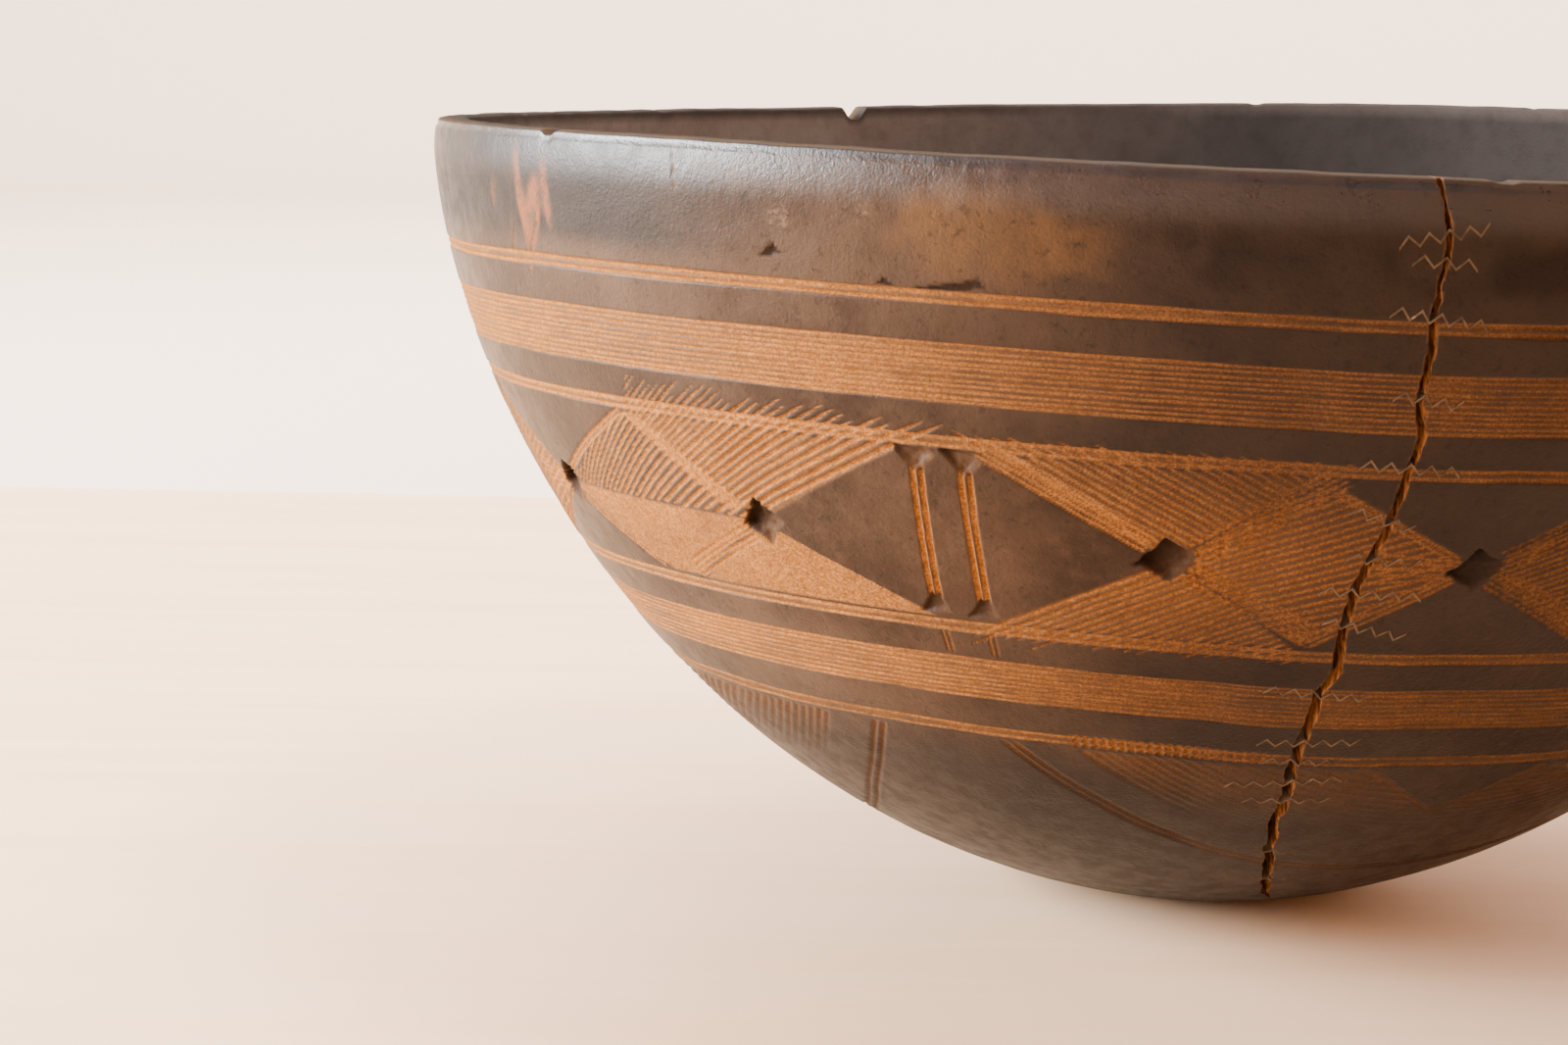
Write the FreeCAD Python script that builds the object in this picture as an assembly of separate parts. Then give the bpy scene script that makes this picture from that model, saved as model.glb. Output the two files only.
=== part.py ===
import FreeCAD, Part
import math
import os
from FreeCAD import Vector

# A deep bowl carved from one block of wood, split down one side and held shut with corrugated fasteners.
# Millimetres. The bowl's axis is +Z, the origin is the centre of its foot, and the split faces -Y.
# A place on the bowl is (bearing, height): the bearing is in degrees from -Y, positive towards +X.

# Driving dimensions of the bowl
RIM_RADIUS = 205.0
HEIGHT = 200.0
RIM_WALL = 9.0
FLOOR_THICKNESS = 20.0
ROUND_BOTTOM_DROP = 2.5  # how much lower the round bottom would reach if the foot weren't worn flat
FULLNESS = 1.7  # exponent of the wall's curve: 2 is an ellipse, less is leaner
RIM_WAVE = 2.3  # the rim rises and falls this much, twice round, because it was cut by eye

# Carved bands: rings of fine grooves
GROOVE_WIDTH = 1.0
GROOVE_DEPTH = 0.6
GROOVE_PITCH = 1.27
DOUBLE_GROOVE_PITCH = 2.2
# each band: height of its middle, number of grooves
BANDS = [(166.5, 2), (150.0, 11), (134.5, 2), (90.0, 2), (76.0, 9), (61.5, 2)]

# Carved frieze: a chain of lozenges between two of the rings, with a pit at every point where two meet
FRIEZE_MIDDLE = 111.0
FRIEZE_TOP = 131.0
FRIEZE_BOTTOM = 93.0
FRIEZE_NODES = [-66, -41, -9.3, 13, 38, 68, 92, 116, 146, 171, 196, 226, 249, 271]
PLAIN_CELLS = [1, 5, 8, 11]  # the lozenges left uncarved but for two pairs of bars
OUTLINE_WIDTH = 1.5
OUTLINE_DEPTH = 0.8
PIT_HALF_WIDTH = 5.6
PIT_HALF_HEIGHT = 4.6
PIT_DEPTH = 3.2
PAIR_OFFSET = 5.8  # from the middle of the lozenge to the middle of a pair of bars, as an arc length
BAR_GAP = 1.6  # between the two bars of a pair
BAR_MARGIN = 4.0  # from a bar's end to the tip of the lozenge
CHIP_SIZE = 5.0
CHIP_DEPTH = 1.8

# The split: (bearing, height) down the wall, from above the rim to just short of the foot
SPLIT = [(6.2, 206), (6.7, 194), (7.1, 184), (6.7, 173), (6.8, 161), (6.4, 151), (6.9, 144), (6.5, 134),
         (5.6, 120), (4.4, 108), (4.0, 98), (4.3, 87), (3.3, 81), (3.1, 71), (2.6, 60), (3.1, 52),
         (2.8, 43), (3.9, 33), (5.8, 21), (9.0, 13), (14.0, 8)]
SPLIT_WIDTH_TOP = 1.4
SPLIT_WIDTH_BOTTOM = 3.0
SPLIT_THROUGH_ABOVE = 45.0  # below this height the split goes only part way into the thick bottom
SPLIT_BLIND_DEPTH = 9.0

# Corrugated fasteners, top to bottom: (bearing, height) of each end
FASTENERS = [
    ((4.0, 185.4), (9.4, 188.7)),
    ((4.9, 182.0), (8.9, 180.9)),
    ((3.9, 171.1), (10.0, 168.0)),
    ((4.7, 153.0), (9.1, 150.7)),
    ((3.1, 137.4), (9.8, 135.7)),
    ((3.0, 127.1), (7.4, 122.5)),
    ((3.2, 116.0), (8.4, 114.2)),
    ((1.7, 107.8), (9.2, 106.1)),
    ((2.4, 100.3), (8.7, 96.0)),
    ((-1.3, 82.2), (7.4, 79.9)),
    ((-1.2, 67.4), (8.0, 67.7)),
    ((-0.4, 62.3), (6.4, 61.7)),
    ((-3.6, 54.5), (7.8, 56.7)),
    ((-1.6, 49.9), (7.4, 50.1)),
    ((0.6, 33.0), (7.4, 31.5)),
    ((1.8, 21.1), (11.0, 19.6)),
]
STRIP_THICKNESS = 0.45
STRIP_WAVE = 4.4  # one whole wave of the corrugation
STRIP_SWING = 2.4  # crest to crest, between the middles of the sheet
STRIP_DEPTH = 6.5  # how far it is driven into the wood
STRIP_PROUD = 0.1  # how far its back edge stands out of the wood

# Working clearances of the cutting shapes
CLEARANCE = 2.0  # how far a cutting shape reaches outside the skin that it cuts
OVERLAP = 0.02  # how far a ring groove's edges lie outside the skin, so that the two cross cleanly
CUTTER_LIFT = 0.3  # how far a chip's cutting pyramid is carried on outwards, as a share of its depth
PROFILE_POINTS = 14  # points on each curve of the wall
PROFILE_BREAKS = [0, 0.25, 0.5, 0.75, 1]  # where the curve is divided, so that no face is the whole wall
RIM_POINTS = 24  # points on the wavy rim


def outer_radius(height):
    """Radius of the smooth outside at a height; the wall is upright at the rim."""
    down = max(0.0, HEIGHT - height) / (HEIGHT + ROUND_BOTTOM_DROP)
    return RIM_RADIUS * math.sqrt(1 - down ** FULLNESS)


def inner_radius(height):
    """Radius of the hollow at a height."""
    down = max(0.0, HEIGHT - height) / (HEIGHT - FLOOR_THICKNESS)
    return (RIM_RADIUS - RIM_WALL) * math.sqrt(max(0.0, 1 - down ** FULLNESS))


def across(bearing):
    """Level direction along the wall, towards larger bearings."""
    return Vector(math.cos(math.radians(bearing)), math.sin(math.radians(bearing)), 0)


def away(bearing):
    """Level direction away from the axis."""
    return Vector(math.sin(math.radians(bearing)), -math.cos(math.radians(bearing)), 0)


def on_wall(bearing, height):
    """Point on the smooth outside."""
    return away(bearing) * outer_radius(height) + Vector(0, 0, height)


def outward(bearing, height):
    """Unit normal of the outside, from the slope of its profile."""
    step = 0.5
    rise = outer_radius(height + step) - outer_radius(height - step)
    return (away(bearing) * (2 * step) - Vector(0, 0, rise)).normalize()


def profile_edges(radius_at, low, high):
    """Smooth curve in the XZ plane through the radius at each height, in a few edges end to end."""
    curve = Part.BSplineCurve()
    curve.interpolate([Vector(radius_at(z), 0, z) for z in spaced_heights(low, high, PROFILE_POINTS)])
    first, last = curve.FirstParameter, curve.LastParameter
    cuts = [first + (last - first) * share for share in PROFILE_BREAKS]
    return [curve.toShape(start, end) for start, end in zip(cuts, cuts[1:])]


def spaced_heights(low, high, count):
    """Heights from low to high, closer together near the low end, where the wall turns fastest."""
    return [low + (high - low) * (i / (count - 1)) ** 2 for i in range(count)]


def revolved(edges):
    """Solid from a closed outline in the XZ plane, turned round the axis."""
    return Part.Face(Part.Wire(edges)).revolve(Vector(0, 0, 0), Vector(0, 0, 1), 360)


def turned_blank():
    """The bowl before its rim is cut and its outside carved."""
    top = HEIGHT + RIM_WAVE + CLEARANCE
    outside = profile_edges(outer_radius, 0, HEIGHT)
    inside = profile_edges(inner_radius, FLOOR_THICKNESS, HEIGHT)
    foot = Vector(outer_radius(0), 0, 0)
    outer_rim, outer_top = Vector(RIM_RADIUS, 0, HEIGHT), Vector(RIM_RADIUS, 0, top)
    inner_rim, inner_top = Vector(RIM_RADIUS - RIM_WALL, 0, HEIGHT), Vector(RIM_RADIUS - RIM_WALL, 0, top)
    return revolved([
        Part.makeLine(Vector(0, 0, 0), foot), *outside, Part.makeLine(outer_rim, outer_top),
        Part.makeLine(outer_top, inner_top), Part.makeLine(inner_top, inner_rim), *inside[::-1],
        Part.makeLine(Vector(0, 0, FLOOR_THICKNESS), Vector(0, 0, 0)),
    ])


def rim_wave_cutter():
    """Everything above the wavy rim."""
    def ring(radius):
        points = []
        for step in range(RIM_POINTS):
            bearing = step * 360 / RIM_POINTS
            rise = RIM_WAVE * -math.sin(math.radians(2 * bearing))
            points.append(away(bearing) * radius + Vector(0, 0, HEIGHT + rise))
        curve = Part.BSplineCurve()
        curve.interpolate(points, PeriodicFlag=True)
        return curve.toShape()
    surface = Part.makeRuledSurface(ring(RIM_RADIUS - 3 * RIM_WALL), ring(RIM_RADIUS + RIM_WALL))
    return surface.extrude(Vector(0, 0, 2 * RIM_WAVE + 2 * CLEARANCE))


def ring_groove(height):
    """V-shaped ring groove, centred on a height."""
    half = GROOVE_WIDTH / 2
    middle = outer_radius(height)
    low = Vector(outer_radius(height - half) + OVERLAP, 0, height - half)
    high = Vector(outer_radius(height + half) + OVERLAP, 0, height + half)
    root = Vector(middle - GROOVE_DEPTH, 0, height)
    clear = Vector(middle + CLEARANCE, 0, height)
    sides = ((low, root), (root, high), (high, clear), (clear, low))
    return revolved([Part.makeLine(a, b) for a, b in sides])


def ring_grooves():
    """Every ring groove of every band."""
    grooves = []
    for middle, count in BANDS:
        pitch = DOUBLE_GROOVE_PITCH if count == 2 else GROOVE_PITCH
        for index in range(count):
            grooves.append(ring_groove(middle + (index - (count - 1) / 2) * pitch))
    return grooves


def closed_polyhedron(faces):
    """Solid from flat faces, each a list of corner points."""
    sides = [Part.Face(Part.makePolygon(corners + corners[:1])) for corners in faces]
    solid = Part.Solid(Part.Shell(sides))
    if solid.Volume < 0:
        solid.reverse()
    return solid


def chip(corners, depth):
    """Chip cut out of the wall: a pyramid on (bearing, height) corners, its point inwards."""
    bearing = sum(b for b, _ in corners) / len(corners)
    height = sum(h for _, h in corners) / len(corners)
    point = on_wall(bearing, height) - outward(bearing, height) * depth
    lifted = [on_wall(b, h) + (on_wall(b, h) - point) * CUTTER_LIFT for b, h in corners]
    faces = [[a, b, point] for a, b in zip(lifted, lifted[1:] + lifted[:1])]
    centre = on_wall(bearing, height) + outward(bearing, height) * depth
    faces += [[b, a, centre] for a, b in zip(lifted, lifted[1:] + lifted[:1])]
    return closed_polyhedron(faces)


def degrees_along(arc, height):
    """The bearing that an arc length covers at a height."""
    return math.degrees(arc / outer_radius(height))


def pit(bearing):
    """Lozenge-shaped pit where two lozenges meet."""
    wide = degrees_along(PIT_HALF_WIDTH, FRIEZE_MIDDLE)
    return chip([(bearing - wide, FRIEZE_MIDDLE), (bearing, FRIEZE_MIDDLE + PIT_HALF_HEIGHT),
                 (bearing + wide, FRIEZE_MIDDLE), (bearing, FRIEZE_MIDDLE - PIT_HALF_HEIGHT)], PIT_DEPTH)


def incised_line(start, end, width, depth, spans=4):
    """V-shaped line cut between two (bearing, height) places, following the wall."""
    sections = []
    heading = on_wall(*end) - on_wall(*start)
    for step in range(spans + 1):
        share = step / spans
        bearing = start[0] + (end[0] - start[0]) * share
        height = start[1] + (end[1] - start[1]) * share
        skin, normal = on_wall(bearing, height), outward(bearing, height)
        side = normal.cross(heading).normalize() * (width / 2)
        lifted = skin + normal * depth * CUTTER_LIFT
        spread = side * (1 + CUTTER_LIFT)
        corners = [lifted + spread, lifted - spread, skin - normal * depth]
        sections.append(Part.makePolygon(corners + corners[:1]))
    return Part.makeLoft(sections, True, True)


def lozenge_outline(left, right):
    """The four sides of one lozenge, stopping short of its pits."""
    middle = (left + right) / 2
    inset = degrees_along(PIT_HALF_WIDTH, FRIEZE_MIDDLE)
    lines = []
    for pit_side, bearing in ((left, left + inset), (right, right - inset)):
        reach = (bearing - pit_side) / (middle - pit_side)
        for edge in (FRIEZE_TOP, FRIEZE_BOTTOM):
            start = (bearing, FRIEZE_MIDDLE + (edge - FRIEZE_MIDDLE) * reach)
            lines.append(incised_line(start, (middle, edge), OUTLINE_WIDTH, OUTLINE_DEPTH))
    return lines


def bars_and_chips(left, right):
    """Two pairs of upright bars in a plain lozenge, with a chip at both ends of each pair."""
    middle = (left + right) / 2
    low, high = FRIEZE_BOTTOM + BAR_MARGIN, FRIEZE_TOP - BAR_MARGIN
    half_chip = degrees_along(CHIP_SIZE / 2, FRIEZE_MIDDLE)
    cuts = []
    for side in (-1, 1):
        for arc in (side * PAIR_OFFSET - BAR_GAP / 2, side * PAIR_OFFSET + BAR_GAP / 2):
            bearing = middle + degrees_along(arc, FRIEZE_MIDDLE)
            cuts.append(incised_line((bearing, low), (bearing, high), OUTLINE_WIDTH, OUTLINE_DEPTH))
        bearing = middle + degrees_along(side * PAIR_OFFSET, FRIEZE_MIDDLE)
        for near, far in ((high, high + CHIP_SIZE), (low, low - CHIP_SIZE)):
            cuts.append(chip([(bearing, near), (bearing + half_chip, far), (bearing - half_chip, far)],
                             CHIP_DEPTH))
    return cuts


def frieze_cuts():
    """All pits, outlines, bars and chips of the frieze."""
    cuts = []
    ends = FRIEZE_NODES[1:] + [FRIEZE_NODES[0] + 360]
    for index, (left, right) in enumerate(zip(FRIEZE_NODES, ends)):
        cuts.append(pit(left))
        cuts += lozenge_outline(left, right)
        if index in PLAIN_CELLS:
            cuts += bars_and_chips(left, right)
    return cuts


def split_cutter():
    """The open split: right through the wall high up, part way into the thick bottom low down."""
    sections = []
    for bearing, height in SPLIT:
        share = min(1.0, height / HEIGHT)
        width = SPLIT_WIDTH_BOTTOM + (SPLIT_WIDTH_TOP - SPLIT_WIDTH_BOTTOM) * share
        depth = 3 * RIM_WALL if height > SPLIT_THROUGH_ABOVE else SPLIT_BLIND_DEPTH
        skin, normal, side = on_wall(bearing, height), outward(bearing, height), across(bearing) * (width / 2)
        outer, inner = skin + normal * CLEARANCE, skin - normal * depth
        corners = [outer - side, outer + side, inner + side, inner - side]
        sections.append(Part.makePolygon(corners + corners[:1]))
    return Part.makeLoft(sections, True, True)


def outside_envelope():
    """Solid of revolution just proud of the smooth outside, which trims the fasteners' back edges."""
    def proud_radius(height):
        return outer_radius(height) + STRIP_PROUD
    wall = profile_edges(proud_radius, 0, HEIGHT)
    low, high = Vector(proud_radius(0), 0, 0), Vector(proud_radius(HEIGHT), 0, HEIGHT)
    foot, top = Vector(0, 0, 0), Vector(0, 0, HEIGHT)
    return revolved([*wall, Part.makeLine(high, top), Part.makeLine(top, foot), Part.makeLine(foot, low)])


def corrugated_strip(start, end, envelope):
    """Corrugated steel strip driven in across the split from one (bearing, height) place to another."""
    bearing, height = (start[0] + end[0]) / 2, (start[1] + end[1]) / 2
    normal = outward(bearing, height)
    chord = on_wall(*end) - on_wall(*start)
    along = (chord - normal * chord.dot(normal)).normalize()
    upward = normal.cross(along) * -1
    bends = max(4, round(2 * chord.Length / STRIP_WAVE))
    seat = on_wall(bearing, height) - normal * STRIP_DEPTH
    pitch = chord.Length / bends
    half_sheet = STRIP_THICKNESS / 2 * math.hypot(pitch, STRIP_SWING) / pitch  # measured across the strip
    edges = []
    for side in (-1, 1):
        line = []
        for step in range(bends + 1):
            swing = (STRIP_SWING / 2) * (-1) ** step + side * half_sheet
            line.append(seat + along * (chord.Length * (step / bends - 0.5)) + upward * swing)
        edges.append(line)
    outline = edges[0] + edges[1][::-1]
    face = Part.Face(Part.makePolygon(outline + outline[:1]))
    return face.extrude(normal * (STRIP_DEPTH + 2 * CLEARANCE)).common(envelope)


def export(shape, name):
    """Writes one node, after making sure that it is one sound solid."""
    shape = shape.Solids[0] if len(shape.Solids) == 1 else shape
    print(name, shape.ShapeType, "valid", shape.isValid(), "volume", round(shape.Volume))
    shape.exportStep(f"parts/{name}.step")


os.makedirs("parts", exist_ok=True)
skin = outside_envelope()
strips = [corrugated_strip(start, end, skin) for start, end in FASTENERS]
bowl = turned_blank().cut(rim_wave_cutter())
bowl = bowl.cut(ring_grooves())
bowl = bowl.cut(frieze_cuts())
bowl = bowl.cut([split_cutter()] + strips)
export(bowl, "bowl")
for number, strip in enumerate(strips, start=1):
    export(strip, f"corrugated_fastener_{number:02d}")
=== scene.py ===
import math

import bpy
import numpy as np
from mathutils import Matrix, Vector


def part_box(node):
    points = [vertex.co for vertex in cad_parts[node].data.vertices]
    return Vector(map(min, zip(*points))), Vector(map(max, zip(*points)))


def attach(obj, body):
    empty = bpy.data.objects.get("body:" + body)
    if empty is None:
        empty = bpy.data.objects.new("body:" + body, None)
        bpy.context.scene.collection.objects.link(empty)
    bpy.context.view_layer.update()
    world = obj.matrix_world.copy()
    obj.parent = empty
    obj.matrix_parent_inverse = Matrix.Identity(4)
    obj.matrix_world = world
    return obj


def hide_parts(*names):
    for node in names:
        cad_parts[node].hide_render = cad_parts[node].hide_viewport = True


# The carved bowl's looks. The mesh is worked out in millimetres and stored in metres.
# A place on the outside is (bearing, height): degrees from -Y towards +X, and the height on the pattern,
# which wanders up and down round the real bowl.

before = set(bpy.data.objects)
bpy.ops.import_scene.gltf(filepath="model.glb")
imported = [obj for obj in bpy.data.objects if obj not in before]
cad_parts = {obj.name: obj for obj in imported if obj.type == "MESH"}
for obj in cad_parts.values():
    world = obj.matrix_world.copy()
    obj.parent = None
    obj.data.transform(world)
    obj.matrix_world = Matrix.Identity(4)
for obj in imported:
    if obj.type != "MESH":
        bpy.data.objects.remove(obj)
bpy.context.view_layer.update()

METRES = 0.001
bowl_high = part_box("bowl")[1]

# The bowl's form, with the CAD solid's own measures
RIM_WAVE = 2.3
RIM_RADIUS = bowl_high[0] / METRES
HEIGHT = bowl_high[2] / METRES - RIM_WAVE
RIM_WALL = 9.0
FLOOR_THICKNESS = 20.0
ROUND_BOTTOM_DROP = 2.5
FULLNESS = 1.7

# The softer rim, which only the looks have
RIM_ROUNDING = 1.6
RIM_SQUARENESS = 0.45
SHOULDER_FROM = 188.0  # above this the wall is scraped gently inwards to the rim
SHOULDER_DROP = 1.25

# The unrolled skin
FIRST_BEARING, LAST_BEARING = -90.0, 270.0
# Rows of the outside: (from, to, gap between rows)
ROW_ZONES = [(0.0, 8, 2.5), (8, 22, 1.6), (22, 58.5, 0.75), (58.5, 63.5, 0.3), (63.5, 68, 0.5),
             (68, 83, 0.3), (83, 87.5, 0.5), (87.5, 92.5, 0.3), (92.5, 132, 0.45), (132, 142.3, 0.34),
             (142.3, 157.6, 0.3), (157.6, 164.3, 0.9), (164.3, 169, 0.3),
             (169, HEIGHT - RIM_ROUNDING, 0.9)]
# Columns, in degrees: their usual gap, and (half width, gap) of the finer ones at bars and pits
COLUMN_GAP, BAR_COLUMNS, PIT_COLUMNS = 0.22, (3.4, 0.1), (2.4, 0.14)

# Carved pattern
RING_WIDTH = 1.02
DOUBLE_RING_WIDTH = 1.35
DOUBLE_RING_PITCH = 1.85
BAND_RING_PITCH = 1.27
DOUBLE_RINGS = [166.6, 134.4, 89.8, 61.2]
WIDE_BANDS = [(150.0, 11), (76.0, 9)]
BEADED_RING, BEADS_FROM, BEADS_TO = 61.2, -18.0, 0.0  # where upright strokes cross a double ring
FRIEZE_TOP, FRIEZE_BOTTOM = 132.4, 91.8
FRIEZE_NODES = [(-66, 110), (-40.4, 109.4), (-9, 111), (12.7, 112.3), (38, 111), (68, 110.5), (92, 111.5),
                (116, 110), (146, 111), (171, 112), (196, 110.5), (226, 111), (249, 110), (271, 111.5)]
PLAIN_CELLS = [1, 5, 8, 11]
HALF_CELLS = [0, 4, 7, 10]  # hatched above the middle and stippled below
FRIEZE_SCALE = (3.08, 1.14)  # millimetres along the wall, per degree and per millimetre of height
BEAD_LENGTH = 2.2
HATCH_RISE = 1.9  # usual slope of a stroke, in millimetres of height per degree
HATCH_PITCH = 1.8
# From a pit to where the fanned strokes of the lozenge beside it spread from: degrees and millimetres
HALF_FAN, FULL_FAN = (-62.7, -98.6), (-40, -54)
# Chords across the underside: bearing of the middle, distance out to the double line and to the strip
CHORDS = [(-90, 88, 99), (24, 95.5, 106), (142, 92, 102)]
CHORDS_TOP = 59.4  # they stop just short of the lowest rings
STRIP_PITCH = 1.9

# The split: (bearing, height) from above the rim to just short of the foot
SPLIT = [(6.2, 206), (6.7, 194), (7.1, 184), (6.7, 173), (6.8, 161), (6.4, 151), (6.9, 144), (6.5, 134),
         (5.6, 120), (4.4, 108), (4.0, 98), (4.3, 87), (3.3, 81), (3.1, 71), (2.6, 60), (3.1, 52),
         (2.8, 43), (3.9, 33), (5.8, 21), (9.0, 13), (14.0, 8)]
SPLIT_WIDTH_TOP, SPLIT_WIDTH_BOTTOM = 1.15, 3.1
SPLIT_THROUGH_ABOVE = 45.0
SPLIT_BLIND_DEPTH = 9.0
SPLIT_LEAN = 1.0  # the torn faces slant, so that the right one shows
CALM_REACH = 21.0  # the carving is shallower within this distance of the split

# Wear. A patch is (bearing, height, half its width in degrees, half its height)
OLIVE_PATCHES = [(-21, 180, 11, 13), (95, 183, 16, 12), (205, 178, 14, 14)]
RUDDY_PATCHES = [(-59, 181, 4.5, 14), (147, 184, 5, 12)]
SCUFFS = [(-33.5, 182.5, 5.5, 5.5), (-28.0, 185.5, 3.5, 2.5), (74, 186, 5, 5)]
STAINS = [(-4, 181, 9, 9), (16, 178, 14, 9), (120, 180, 12, 10)]
# Small chips in the plain neck: (corners, depth)
NICKS = [([(-36.2, 172.5), (-33.6, 173.6), (-34.6, 176.6)], 0.8),
         ([(-25.4, 168.3), (-21.5, 168.3), (-20.2, 170.0), (-20.8, 171.6)], 0.7),
         ([(-27.6, 168.5), (-26.2, 168.6), (-27.0, 170.6)], 0.7)]
# Cracks and scratches in the neck: (start, end, width, depth, seed, bareness)
CRACKS = [((-59.5, 162.5), (-56.8, 178.0), 0.9, 0.9, 71, 0.5),
          ((-62.0, 164.0), (-60.2, 176.0), 0.7, 0.6, 72, 0.2),
          ((-42.1, 187.0), (-42.4, 196.5), 0.7, 0.7, 73, 0.5),
          ((-37.6, 190.0), (-37.2, 195.0), 0.6, 0.4, 74, 0.2)]
# Chips out of the rim: (bearing, half the width in degrees, depth)
RIM_CHIPS = [(208.0, 1.3, 4.5), (-55.5, 1.0, 1.3), (64.0, 1.6, 2.0), (121.0, 1.1, 1.4)]

# The stage, in metres
TABLE_END = 0.66  # the boards end this far behind the bowl's axis
ROOM_RADIUS = 3.4
ROOM_HEIGHT = 2.6
COVE_RADIUS = 0.5
COVE_STEPS = 12
ROOM_SIDES = 128

# The camera, in metres and radians
CAMERA_PLACE = (-0.1114, -0.9284, 0.2376)
CAMERA_PITCH = 0.1543
CAMERA_ROLL = 0.0193

# A Mix node's colour sockets, which share their names with its other kinds
MIX_A, MIX_B, MIX_RESULT = 6, 7, 2

COARSER = 1.0


# ---------------------------------------------------------------- form

def outer_radius(height):
    down = np.clip(HEIGHT - height, 0, None) / (HEIGHT + ROUND_BOTTOM_DROP)
    return RIM_RADIUS * np.sqrt(1 - down ** FULLNESS)


def wall_slope(height):
    """Millimetres of radius gained per millimetre of height."""
    step = 0.25
    return (outer_radius(height + step) - outer_radius(np.clip(height - step, 0, None))) / (2 * step)


def shoulder(height):
    return SHOULDER_DROP * np.clip((height - SHOULDER_FROM) / (HEIGHT - SHOULDER_FROM), 0, 1) ** 2


def inner_radius(height):
    down = np.clip(HEIGHT - height, 0, None) / (HEIGHT - FLOOR_THICKNESS)
    return (RIM_RADIUS - RIM_WALL) * np.sqrt(np.clip(1 - down ** FULLNESS, 0, None))


def wander(bearing, height):
    """How far the pattern and the rim stray up or down from level, because they were cut by eye.

    The rings and the rim stray differently, and one passes into the other in the neck.
    """
    turn = np.radians(bearing)
    rings = -1.27 * np.sin(turn) + 1.62 * np.cos(turn) - 2.79 * np.sin(2 * turn)
    rim = -RIM_WAVE * np.sin(2 * turn)
    full_from, full_to = 50, 168  # the rings stray in full between these heights
    near_rim = np.clip((height - full_to) / (HEIGHT - full_to), 0, 1)
    near_foot = np.clip(height / full_from, 0, 1)
    return (rings * (1 - near_rim) + rim * near_rim) * near_foot


def smooth(edge_low, edge_high, value):
    t = np.clip((value - edge_low) / (edge_high - edge_low), 0, 1)
    return t * t * (3 - 2 * t)


# ---------------------------------------------------------------- seeded noise

NOISE_CELLS = 32


def noise(points, size, seed):
    """Smooth noise from -1 to 1 at points in millimetres, with lumps of about that size."""
    table = np.random.RandomState(seed).uniform(-1, 1, NOISE_CELLS ** 3).astype(np.float32)
    scaled = points / size
    cell = np.floor(scaled).astype(np.int64)
    part = (scaled - cell).astype(np.float32)
    part = part * part * (3 - 2 * part)
    total = np.zeros(points.shape[:-1], np.float32)
    for corner in range(8):
        step = np.array([corner & 1, corner >> 1 & 1, corner >> 2 & 1])
        x, y, z = np.moveaxis((cell + step) % NOISE_CELLS, -1, 0)
        weight = np.prod(np.where(step == 1, part, 1 - part), axis=-1)
        total += table[(x * NOISE_CELLS + y) * NOISE_CELLS + z] * weight
    return total


def layered_noise(points, size, seed, layers=3):
    return sum(noise(points, size / 2 ** k, seed + k) / 2 ** k for k in range(layers)) / 1.5


# ---------------------------------------------------------------- the grid of the bowl's skin

def row_heights():
    """Heights of the outside's rows, foot to rim: close together where there is carving."""
    fine = np.linspace(0, HEIGHT, 4001)
    run = np.concatenate([[0], np.cumsum(np.hypot(np.diff(fine), np.diff(outer_radius(fine))))])
    rows = []
    for low, high, gap in ROW_ZONES:
        first, last = np.interp([low, high], fine, run)
        count = max(2, round((last - first) / gap / COARSER))
        rows.append(np.interp(np.linspace(first, last, count, endpoint=False), run, fine))
    return np.concatenate(rows)


def column_bearings():
    """Bearings of the columns, closer together at upright cuts."""
    tenths = 3600
    gap = np.full(tenths, COLUMN_GAP)
    angle = np.arange(tenths) / 10 + FIRST_BEARING
    for index in PLAIN_CELLS:
        middle = (FRIEZE_NODES[index][0] + FRIEZE_NODES[index + 1][0]) / 2
        gap[np.abs(angle - middle) < BAR_COLUMNS[0]] = BAR_COLUMNS[1]
    for node, _ in FRIEZE_NODES:
        gap[np.abs(angle - node) < PIT_COLUMNS[0]] = PIT_COLUMNS[1]
    total = np.concatenate([[0], np.cumsum(0.1 / gap)])
    count = int(total[-1] / COARSER)
    edges = np.arange(tenths + 1) / 10 + FIRST_BEARING
    return np.interp(np.linspace(0, total[-1], count, endpoint=False), total, edges)


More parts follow.
